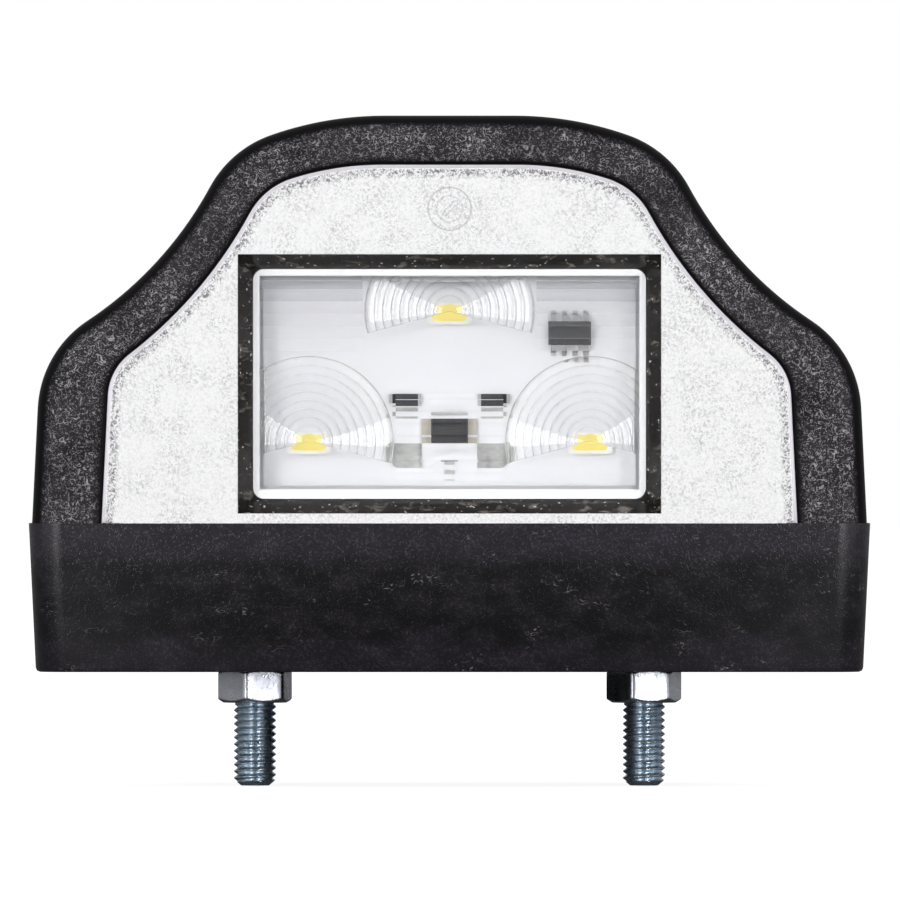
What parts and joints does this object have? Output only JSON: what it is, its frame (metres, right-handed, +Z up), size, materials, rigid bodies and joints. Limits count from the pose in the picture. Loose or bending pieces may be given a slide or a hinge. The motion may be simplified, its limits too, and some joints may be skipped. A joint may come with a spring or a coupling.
{
  "type": "number plate lamp",
  "caption": "Hooded number plate lamp with a silver-white front lens, a clear window over a lit module, and a black base on threaded studs.",
  "frame": {"origin": "middle of the base's flat underside, where the lamp rests on its panel", "axes": "+Z up from the underside to the crown of the hood, +X along the base to the right as seen from the lens, +Y from the lens to the rear"},
  "size_m": [0.0984, 0.0482, 0.0788],
  "materials": {
    "base_black": "satin black with a fine mottle",
    "hood_black": "glossy black over a fine wavy grain",
    "lens_plastic": "silver-white grained field with a clear polished window",
    "tray_black": "glossy black",
    "frame_white": "bright white",
    "optic_clear": "clear polished prisms",
    "board_white": "white solder mask",
    "led_white": "matt white",
    "phosphor_yellow": "soft yellow",
    "chip_black": "matt black moulding",
    "tinned_metal": "tinned",
    "terminal_tan": "dull tan metal",
    "solder": "soft grey solder",
    "zinc_stud": "blue-white zinc plate",
    "zinc_nut": "bright blue-white zinc plate",
    "grommet_rubber": "matt black rubber"
  },
  "bodies": {
    "root": {"base_housing": "base_black", "hood_cover": "hood_black", "lens_cover": "lens_plastic", "module_tray": "tray_black", "module_frame": "frame_white", "optic_plate": "optic_clear", "circuit_board": "board_white", "led_left": "led_white", "led_right": "led_white", "led_top": "led_white", "phosphor_left": "phosphor_yellow", "phosphor_right": "phosphor_yellow", "phosphor_top": "phosphor_yellow", "driver_chip": "chip_black", "driver_chip_leads": "tinned_metal", "diode": "chip_black", "diode_terminals": "terminal_tan", "resistor_left": "chip_black", "resistor_right": "chip_black", "resistor_caps": "tinned_metal", "solder_joint_left": "solder", "solder_joint_right": "solder", "contact_pads": "solder", "stud_left": "zinc_stud", "stud_right": "zinc_stud", "nut_left": "zinc_nut", "nut_right": "zinc_nut", "cable_grommet": "grommet_rubber"}
  },
  "joints": []
}
